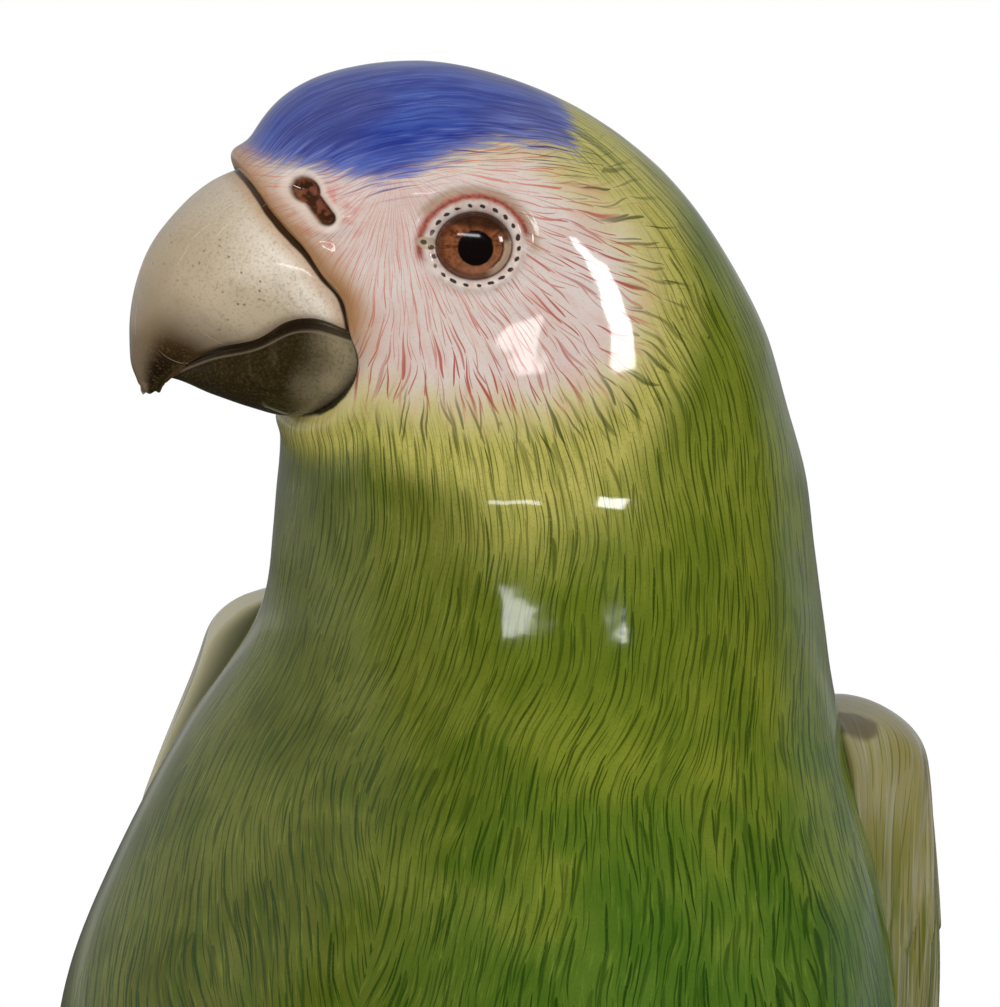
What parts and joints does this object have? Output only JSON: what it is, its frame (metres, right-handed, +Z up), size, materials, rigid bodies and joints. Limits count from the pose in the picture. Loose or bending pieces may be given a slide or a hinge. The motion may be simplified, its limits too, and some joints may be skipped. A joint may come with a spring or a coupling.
{
  "type": "parrot figurine",
  "caption": "Glazed porcelain parrot perched upright on a plain tree stump, head turned to its right, wings folded, cast hollow in one piece.",
  "frame": {"origin": "middle of the round foot, on the surface it stands on", "axes": "+Z up along the stump and the bird, -Y the way the breast faces, +X the bird's left"},
  "size_m": [0.12, 0.12, 0.31],
  "materials": {
    "painted_glaze": "hand-painted feathers in green with a blue crown, pink face and grey beak, under a clear gloss glaze"
  },
  "bodies": {
    "root": {"parrot_figurine": "painted_glaze"}
  },
  "joints": []
}
